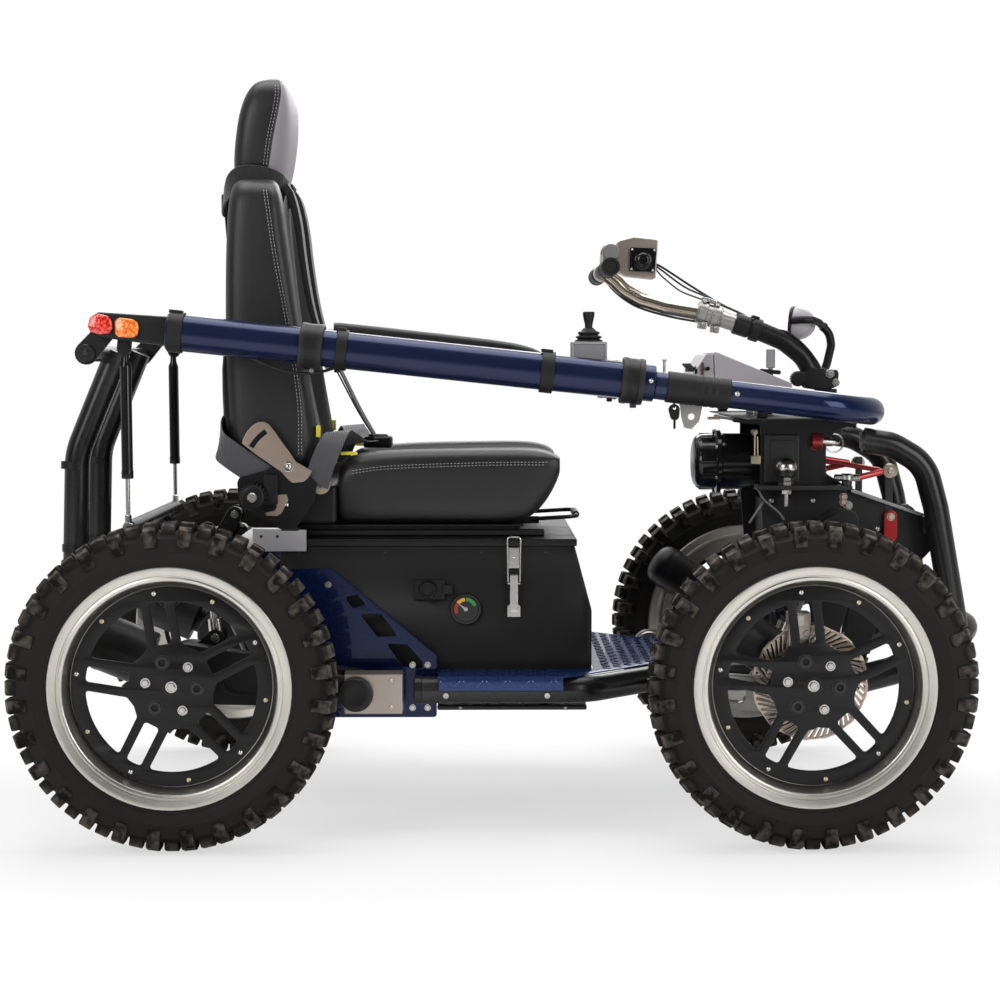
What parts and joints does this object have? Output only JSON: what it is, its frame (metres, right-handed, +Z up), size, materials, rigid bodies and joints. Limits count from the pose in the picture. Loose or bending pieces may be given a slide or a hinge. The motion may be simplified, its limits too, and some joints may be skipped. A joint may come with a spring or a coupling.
{
  "type": "all-terrain mobility vehicle",
  "caption": "Electric all-terrain mobility vehicle: seat on a battery box, sprung spoked wheels, lifting side bars with joystick, and a tiller with steered front wheels.",
  "frame": {"origin": "on the ground under the middle of the overall box", "axes": "+X forward, +Y to the vehicle's left, +Z up"},
  "size_m": [1.7964, 1.044, 1.411],
  "materials": {
    "bronze": "bronze beige",
    "cast_alloy": "satin",
    "dark_plastic": "matt black",
    "drive_black": "satin black coat",
    "frame_black": "satin black coat",
    "grey_plastic": "matt grey",
    "metallic_blue": "metallic navy coat",
    "rim_silver": "turned and polished",
    "rubber": "moulded, tread worn brown",
    "satin_black": "satin black coat",
    "steel": "satin",
    "vinyl": "matt black vinyl"
  },
  "bodies": {
    "chassis": {"main_frame": "frame_black", "front_tower": "frame_black", "rear_side_plate_right": "metallic_blue", "rear_side_plate_left": "metallic_blue", "battery_box": "satin_black", "battery_pack": "grey_plastic", "footboard": "metallic_blue", "rear_hoop": "frame_black", "bull_bar": "frame_black", "nose_loop": "metallic_blue", "control_panel": "grey_plastic", "mirror_stem": "frame_black"},
    "steering": {"handlebar": "steel", "control_pod": "bronze"},
    "mirror": {"mirror_head": "grey_plastic"},
    "rear_arm_right": {"rear_arm_right": "drive_black"},
    "rear_wheel_right": {"tyre_rear_right": "rubber", "rim_rear_right": "rim_silver", "wheel_disc_rear_right": "drive_black"},
    "front_arm_right": {"front_arm_right": "cast_alloy"},
    "knuckle_right": {"knuckle_right": "drive_black"},
    "front_wheel_right": {"tyre_front_right": "rubber", "rim_front_right": "rim_silver", "wheel_disc_front_right": "drive_black", "brake_disc_right": "steel"},
    "rear_shock_can_right": {"shock_can_rear_right": "dark_plastic"},
    "rear_shock_shaft_right": {"shock_shaft_rear_right": "steel"},
    "front_shock_can_right": {"shock_can_front_right": "dark_plastic"},
    "front_shock_shaft_right": {"shock_shaft_front_right": "steel"},
    "side_bar_right": {"side_bar_right": "metallic_blue", "armrest_right": "vinyl", "joystick_box": "grey_plastic"},
    "strut_rod_right": {"strut_rod_right": "steel"},
    "strut_cylinder_right": {"strut_cylinder_right": "dark_plastic"},
    "latch_right": {"latch_right": "steel"},
    "rear_arm_left": {"rear_arm_left": "drive_black"},
    "rear_wheel_left": {"tyre_rear_left": "rubber", "rim_rear_left": "rim_silver", "wheel_disc_rear_left": "drive_black"},
    "front_arm_left": {"front_arm_left": "cast_alloy"},
    "knuckle_left": {"knuckle_left": "drive_black"},
    "front_wheel_left": {"tyre_front_left": "rubber", "rim_front_left": "rim_silver", "wheel_disc_front_left": "drive_black", "brake_disc_left": "steel"},
    "rear_shock_can_left": {"shock_can_rear_left": "dark_plastic"},
    "rear_shock_shaft_left": {"shock_shaft_rear_left": "steel"},
    "front_shock_can_left": {"shock_can_front_left": "dark_plastic"},
    "front_shock_shaft_left": {"shock_shaft_front_left": "steel"},
    "side_bar_left": {"side_bar_left": "metallic_blue", "armrest_left": "vinyl"},
    "strut_rod_left": {"strut_rod_left": "steel"},
    "strut_cylinder_left": {"strut_cylinder_left": "dark_plastic"},
    "latch_left": {"latch_left": "steel"},
    "joystick": {"joystick": "dark_plastic"},
    "lid": {"battery_lid": "satin_black"},
    "seat": {"seat_base": "frame_black", "seat_cushion": "vinyl"},
    "seat_back": {"seat_back": "vinyl"},
    "slide_lever": {"slide_lever": "frame_black"}
  },
  "joints": [
    {"name": "steer", "type": "hinge", "parent": "chassis", "child": "steering", "pos_m": [0.629, 0, 0.8], "axis": [0, 0, 1], "range_deg": [-22, 22]},
    {"name": "mirror_turn", "type": "hinge", "parent": "chassis", "child": "mirror", "pos_m": [0.612, 0.14, 0.94], "axis": [0, 0, 1], "range_deg": [-25, 25]},
    {"name": "rear_arm_right_swing", "type": "hinge", "parent": "chassis", "child": "rear_arm_right", "pos_m": [-0.287, -0.315, 0.264], "axis": [0, 1, 0], "range_deg": [-6, 6], "stiffness_Nm_per_rad": 2000, "springref_deg": -5.6},
    {"name": "rear_wheel_right_spin", "type": "hinge", "parent": "rear_arm_right", "child": "rear_wheel_right", "pos_m": [-0.606, -0.475, 0.293], "axis": [0, 1, 0], "continuous": true},
    {"name": "front_arm_right_swing", "type": "hinge", "parent": "chassis", "child": "front_arm_right", "pos_m": [0.3, -0.299, 0.262], "axis": [0, 1, 0], "range_deg": [-8, 8], "stiffness_Nm_per_rad": 1500, "springref_deg": 5.27},
    {"name": "knuckle_right_steer", "type": "hinge", "parent": "front_arm_right", "child": "knuckle_right", "pos_m": [0.526, -0.385, 0.293], "axis": [0, 0, 1], "range_deg": [-22, 22]},
    {"name": "front_wheel_right_spin", "type": "hinge", "parent": "knuckle_right", "child": "front_wheel_right", "pos_m": [0.526, -0.475, 0.293], "axis": [0, 1, 0], "continuous": true},
    {"name": "rear_shock_can_right_swing", "type": "hinge", "parent": "chassis", "child": "rear_shock_can_right", "pos_m": [-0.575, -0.245, 0.548], "axis": [0, 1, 0], "range_deg": [-4, 4]},
    {"name": "rear_shock_shaft_right_slide", "type": "slide", "parent": "rear_shock_can_right", "child": "rear_shock_shaft_right", "axis": [0.1015, 0, -0.9948], "range_m": [-0.0285, 0.0285]},
    {"name": "front_shock_can_right_swing", "type": "hinge", "parent": "chassis", "child": "front_shock_can_right", "pos_m": [0.57, -0.264, 0.55], "axis": [0, 1, 0], "range_deg": [-2.2, 2.2]},
    {"name": "front_shock_shaft_right_slide", "type": "slide", "parent": "front_shock_can_right", "child": "front_shock_shaft_right", "axis": [-0.3657, 0, -0.9308], "range_m": [-0.0215, 0.0215]},
    {"name": "side_bar_right_lift", "type": "hinge", "parent": "chassis", "child": "side_bar_right", "pos_m": [-0.78, -0.33, 0.88], "axis": [0, -1, 0], "range_deg": [0, 60]},
    {"name": "strut_rod_right_swing", "type": "hinge", "parent": "chassis", "child": "strut_rod_right", "pos_m": [-0.71, -0.296, 0.56], "axis": [0, -1, 0], "range_deg": [-0.5, 6.5]},
    {"name": "strut_cylinder_right_slide", "type": "slide", "parent": "strut_rod_right", "child": "strut_cylinder_right", "axis": [-0.0061, 0, 1], "range_m": [-0.001, 0.0625]},
    {"name": "latch_right_turn", "type": "hinge", "parent": "chassis", "child": "latch_right", "pos_m": [0.001, -0.2605, 0.401], "axis": [1, 0, 0], "range_deg": [0, 60]},
    {"name": "rear_arm_left_swing", "type": "hinge", "parent": "chassis", "child": "rear_arm_left", "pos_m": [-0.287, 0.315, 0.264], "axis": [0, 1, 0], "range_deg": [-6, 6], "stiffness_Nm_per_rad": 2000, "springref_deg": -5.6},
    {"name": "rear_wheel_left_spin", "type": "hinge", "parent": "rear_arm_left", "child": "rear_wheel_left", "pos_m": [-0.606, 0.475, 0.293], "axis": [0, 1, 0], "continuous": true},
    {"name": "front_arm_left_swing", "type": "hinge", "parent": "chassis", "child": "front_arm_left", "pos_m": [0.3, 0.299, 0.262], "axis": [0, 1, 0], "range_deg": [-8, 8], "stiffness_Nm_per_rad": 1500, "springref_deg": 5.27},
    {"name": "knuckle_left_steer", "type": "hinge", "parent": "front_arm_left", "child": "knuckle_left", "pos_m": [0.526, 0.385, 0.293], "axis": [0, 0, 1], "range_deg": [-22, 22]},
    {"name": "front_wheel_left_spin", "type": "hinge", "parent": "knuckle_left", "child": "front_wheel_left", "pos_m": [0.526, 0.475, 0.293], "axis": [0, 1, 0], "continuous": true},
    {"name": "rear_shock_can_left_swing", "type": "hinge", "parent": "chassis", "child": "rear_shock_can_left", "pos_m": [-0.575, 0.245, 0.548], "axis": [0, 1, 0], "range_deg": [-4, 4]},
    {"name": "rear_shock_shaft_left_slide", "type": "slide", "parent": "rear_shock_can_left", "child": "rear_shock_shaft_left", "axis": [0.1015, 0, -0.9948], "range_m": [-0.0285, 0.0285]},
    {"name": "front_shock_can_left_swing", "type": "hinge", "parent": "chassis", "child": "front_shock_can_left", "pos_m": [0.57, 0.264, 0.55], "axis": [0, 1, 0], "range_deg": [-2.2, 2.2]},
    {"name": "front_shock_shaft_left_slide", "type": "slide", "parent": "front_shock_can_left", "child": "front_shock_shaft_left", "axis": [-0.3657, 0, -0.9308], "range_m": [-0.0215, 0.0215]},
    {"name": "side_bar_left_lift", "type": "hinge", "parent": "chassis", "child": "side_bar_left", "pos_m": [-0.78, 0.33, 0.88], "axis": [0, -1, 0], "range_deg": [0, 60]},
    {"name": "strut_rod_left_swing", "type": "hinge", "parent": "chassis", "child": "strut_rod_left", "pos_m": [-0.71, 0.296, 0.56], "axis": [0, -1, 0], "range_deg": [-0.5, 6.5]},
    {"name": "strut_cylinder_left_slide", "type": "slide", "parent": "strut_rod_left", "child": "strut_cylinder_left", "axis": [-0.0061, 0, 1], "range_m": [-0.001, 0.0625]},
    {"name": "latch_left_turn", "type": "hinge", "parent": "chassis", "child": "latch_left", "pos_m": [0.001, 0.2605, 0.401], "axis": [-1, 0, 0], "range_deg": [0, 60]},
    {"name": "joystick_tilt", "type": "hinge", "parent": "side_bar_right", "child": "joystick", "pos_m": [0.136, -0.2625, 0.917], "axis": [0, 1, 0], "range_deg": [-15, 15], "stiffness_Nm_per_rad": 0.3},
    {"name": "lid_lift", "type": "hinge", "parent": "chassis", "child": "lid", "pos_m": [-0.44, 0, 0.5275], "axis": [0, -1, 0], "range_deg": [0, 26]},
    {"name": "seat_slide", "type": "slide", "parent": "lid", "child": "seat", "axis": [1, 0, 0], "range_m": [-0.05, 0.06]},
    {"name": "recline", "type": "hinge", "parent": "seat", "child": "seat_back", "pos_m": [-0.418, 0, 0.67], "axis": [0, 1, 0], "range_deg": [-20, 15]},
    {"name": "slide_lever_lift", "type": "hinge", "parent": "seat", "child": "slide_lever", "pos_m": [0.026, 0, 0.552], "axis": [0, -1, 0], "range_deg": [0, 10], "stiffness_Nm_per_rad": 1, "springref_deg": -17.19}
  ],
  "couplings": [
    {"joint": "knuckle_right_steer", "follows": "steer", "ratio": 1},
    {"joint": "rear_shock_can_right_swing", "follows": "rear_arm_right_swing", "ratio": -0.59},
    {"joint": "rear_shock_shaft_right_slide", "follows": "rear_arm_right_swing", "m_per_rad": -0.2573},
    {"joint": "front_shock_can_right_swing", "follows": "front_arm_right_swing", "ratio": -0.22},
    {"joint": "front_shock_shaft_right_slide", "follows": "front_arm_right_swing", "m_per_rad": 0.146},
    {"joint": "strut_rod_right_swing", "follows": "side_bar_right_lift", "ratio": 0.0925},
    {"joint": "strut_cylinder_right_slide", "follows": "side_bar_right_lift", "m_per_rad": 0.0575},
    {"joint": "knuckle_left_steer", "follows": "steer", "ratio": 1},
    {"joint": "rear_shock_can_left_swing", "follows": "rear_arm_left_swing", "ratio": -0.59},
    {"joint": "rear_shock_shaft_left_slide", "follows": "rear_arm_left_swing", "m_per_rad": -0.2573},
    {"joint": "front_shock_can_left_swing", "follows": "front_arm_left_swing", "ratio": -0.22},
    {"joint": "front_shock_shaft_left_slide", "follows": "front_arm_left_swing", "m_per_rad": 0.146},
    {"joint": "strut_rod_left_swing", "follows": "side_bar_left_lift", "ratio": 0.0925},
    {"joint": "strut_cylinder_left_slide", "follows": "side_bar_left_lift", "m_per_rad": 0.0575}
  ]
}
